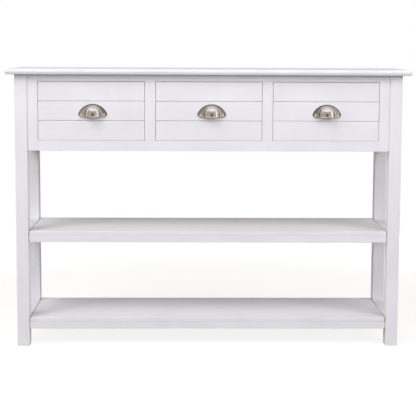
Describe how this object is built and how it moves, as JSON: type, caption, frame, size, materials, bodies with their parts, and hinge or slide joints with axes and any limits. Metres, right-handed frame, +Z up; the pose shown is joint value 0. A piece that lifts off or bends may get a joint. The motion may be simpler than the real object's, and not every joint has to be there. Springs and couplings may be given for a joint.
{
  "type": "console table",
  "caption": "Narrow white console table on square legs, with a row of plank-fronted drawers under an overhanging top and open shelves below.",
  "frame": {"origin": "on the floor, centred under the top", "axes": "+X to the right as seen from the drawers, +Y to the back, +Z up; the drawers open towards -Y"},
  "size_m": [1.15, 0.3, 0.8],
  "materials": {
    "white_paint": "satin white paint over fine-grained wood",
    "bare_wood": "sanded, unpainted pale wood",
    "hardboard": "smooth brown hardboard",
    "brushed_nickel": "brushed nickel, soft gloss",
    "zinc_screw": "bright zinc plate"
  },
  "bodies": {
    "table_frame": {"table_top": "white_paint", "front_left_leg": "white_paint", "front_right_leg": "white_paint", "rear_left_leg": "white_paint", "rear_right_leg": "white_paint", "front_top_rail": "white_paint", "front_bottom_rail": "white_paint", "left_end_stile": "white_paint", "right_end_stile": "white_paint", "left_mid_stile": "white_paint", "right_mid_stile": "white_paint", "left_side_panel": "white_paint", "right_side_panel": "white_paint", "back_panel": "white_paint", "upper_shelf_deck": "white_paint", "upper_shelf_front_rail": "white_paint", "upper_shelf_rear_rail": "white_paint", "upper_shelf_left_rail": "white_paint", "upper_shelf_right_rail": "white_paint", "upper_shelf_battens": "white_paint", "lower_shelf_deck": "white_paint", "lower_shelf_front_rail": "white_paint", "lower_shelf_rear_rail": "white_paint", "lower_shelf_left_rail": "white_paint", "lower_shelf_right_rail": "white_paint", "lower_shelf_battens": "white_paint", "left_partition": "bare_wood", "right_partition": "bare_wood", "left_bay_runners": "bare_wood", "middle_bay_runners": "bare_wood", "right_bay_runners": "bare_wood", "drawer_kickers": "bare_wood", "frame_dowels": "bare_wood", "shelf_dowels": "bare_wood", "top_screws": "zinc_screw", "back_screws": "zinc_screw"},
    "left_drawer": {"left_drawer_front": "white_paint", "left_drawer_left_side": "bare_wood", "left_drawer_right_side": "bare_wood", "left_drawer_back": "bare_wood", "left_drawer_bottom": "hardboard", "left_drawer_pull": "brushed_nickel", "left_drawer_pull_screws": "brushed_nickel"},
    "middle_drawer": {"middle_drawer_front": "white_paint", "middle_drawer_left_side": "bare_wood", "middle_drawer_right_side": "bare_wood", "middle_drawer_back": "bare_wood", "middle_drawer_bottom": "hardboard", "middle_drawer_pull": "brushed_nickel", "middle_drawer_pull_screws": "brushed_nickel"},
    "right_drawer": {"right_drawer_front": "white_paint", "right_drawer_left_side": "bare_wood", "right_drawer_right_side": "bare_wood", "right_drawer_back": "bare_wood", "right_drawer_bottom": "hardboard", "right_drawer_pull": "brushed_nickel", "right_drawer_pull_screws": "brushed_nickel"}
  },
  "joints": [
    {"name": "left_drawer_slide", "type": "slide", "parent": "table_frame", "child": "left_drawer", "axis": [0, -1, 0], "range_m": [0, 0.18]},
    {"name": "middle_drawer_slide", "type": "slide", "parent": "table_frame", "child": "middle_drawer", "axis": [0, -1, 0], "range_m": [0, 0.18]},
    {"name": "right_drawer_slide", "type": "slide", "parent": "table_frame", "child": "right_drawer", "axis": [0, -1, 0], "range_m": [0, 0.18]}
  ]
}
